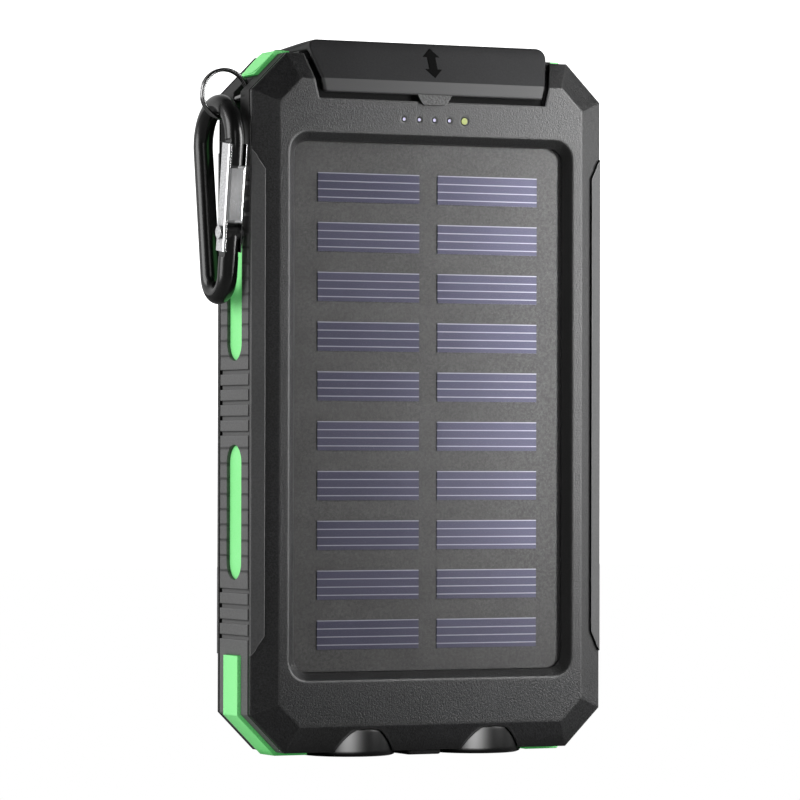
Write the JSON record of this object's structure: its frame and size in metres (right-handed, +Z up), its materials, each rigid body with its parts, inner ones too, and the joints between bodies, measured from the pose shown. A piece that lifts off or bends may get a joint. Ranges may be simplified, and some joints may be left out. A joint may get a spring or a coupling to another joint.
{
  "type": "solar phone charger",
  "caption": "Rugged pocket solar power bank with a hinged port flap, end torches, side bumpers, split ring and spring-gate carabiner.",
  "frame": {"origin": "middle of the base, on the underside of the foot pad between the two torches", "axes": "+Z up the length of the case to the port flap, solar panel faces -Y, +X to the right of the panel"},
  "size_m": [0.0873, 0.0219, 0.144],
  "materials": {
    "case_black": "fine grained",
    "bumper_grey": "ribbed, satin",
    "accent_green": "soft matt",
    "flap_rubber": "matt",
    "strip_grey": "satin",
    "seal_black": "matt",
    "panel_clear": "satin clear coat",
    "cell_silicon": "printed grid lines",
    "panel_board": "dark laminate",
    "foam_black": "matt",
    "pcb_green": "solder mask",
    "chip_black": "matt",
    "inductor_grey": "matt",
    "led_white": "clear",
    "light_clear": "polished",
    "light_green": "polished",
    "port_steel": "plated",
    "tongue_white": "matt",
    "battery_foil": "laminated foil",
    "tab_nickel": "bright",
    "flex_amber": "polyimide",
    "torch_black": "polished",
    "torch_clear": "polished",
    "reflector_chrome": "mirror",
    "screw_black": "blackened",
    "ring_steel": "bright wire",
    "pin_steel": "bright",
    "anodised_black": "black anodised",
    "gate_steel": "bright sheet"
  },
  "bodies": {
    "case": {"back_seal": "seal_black", "back_shell": "case_black", "back_strip_left": "strip_grey", "back_strip_right": "strip_grey", "battery_cell": "battery_foil", "battery_foam": "foam_black", "battery_tabs": "tab_nickel", "board_chips": "chip_black", "board_screws": "screw_black", "button_switch": "chip_black", "case_screws": "screw_black", "flap_anchor": "flap_rubber", "foot_pad": "accent_green", "front_seal": "seal_black", "front_shell": "case_black", "front_strip_left": "strip_grey", "front_strip_right": "strip_grey", "indicator_leds": "led_white", "inductor": "inductor_grey", "lanyard_pin": "pin_steel", "left_bumper": "bumper_grey", "left_insert": "accent_green", "left_torch_barrel": "torch_black", "left_torch_emitter": "led_white", "left_torch_lens": "torch_clear", "left_torch_reflector": "reflector_chrome", "left_usb_port": "port_steel", "left_usb_tongue": "tongue_white", "level_light_pipes": "light_clear", "main_board": "pcb_green", "micro_usb_port": "port_steel", "micro_usb_tongue": "chip_black", "panel_cover": "panel_clear", "panel_tape": "foam_black", "port_deck": "case_black", "right_bumper": "bumper_grey", "right_insert": "accent_green", "right_torch_barrel": "torch_black", "right_torch_emitter": "led_white", "right_torch_lens": "torch_clear", "right_torch_reflector": "reflector_chrome", "right_usb_port": "port_steel", "right_usb_tongue": "tongue_white", "solar_board": "panel_board", "solar_cells": "cell_silicon", "solar_leads": "tab_nickel", "solar_light_pipe": "light_green", "torch_board": "pcb_green", "torch_flex": "flex_amber"},
    "flap": {"port_flap": "flap_rubber"},
    "button": {"power_button": "accent_green"},
    "ring": {"split_ring": "ring_steel"},
    "carabiner": {"carabiner_body": "anodised_black", "gate_rivet": "pin_steel", "gate_spring": "pin_steel"},
    "gate": {"carabiner_gate": "gate_steel"}
  },
  "joints": [
    {"name": "flap_hinge", "type": "hinge", "parent": "case", "child": "flap", "pos_m": [0, 0.008, 0.142], "axis": [-1, 0, 0], "range_deg": [0, 110], "stiffness_Nm_per_rad": 0.002},
    {"name": "button_press", "type": "slide", "parent": "case", "child": "button", "axis": [-1, 0, 0], "range_m": [0, 0.0004], "stiffness_N_per_m": 1500, "springref_m": -0.0003},
    {"name": "ring_swing", "type": "hinge", "parent": "case", "child": "ring", "pos_m": [-0.0384, -0.001, 0.1321], "axis": [0, 1, 0], "range_deg": [0, 20]},
    {"name": "carabiner_swing", "type": "hinge", "parent": "ring", "child": "carabiner", "pos_m": [-0.0424, -0.001, 0.13056], "axis": [0, 1, 0], "range_deg": [0, 120]},
    {"name": "gate_hinge", "type": "hinge", "parent": "carabiner", "child": "gate", "pos_m": [-0.0424, -0.00469, 0.10489], "axis": [-1, 0, 0], "range_deg": [0, 25], "stiffness_Nm_per_rad": 0.05, "springref_deg": -8.59}
  ]
}
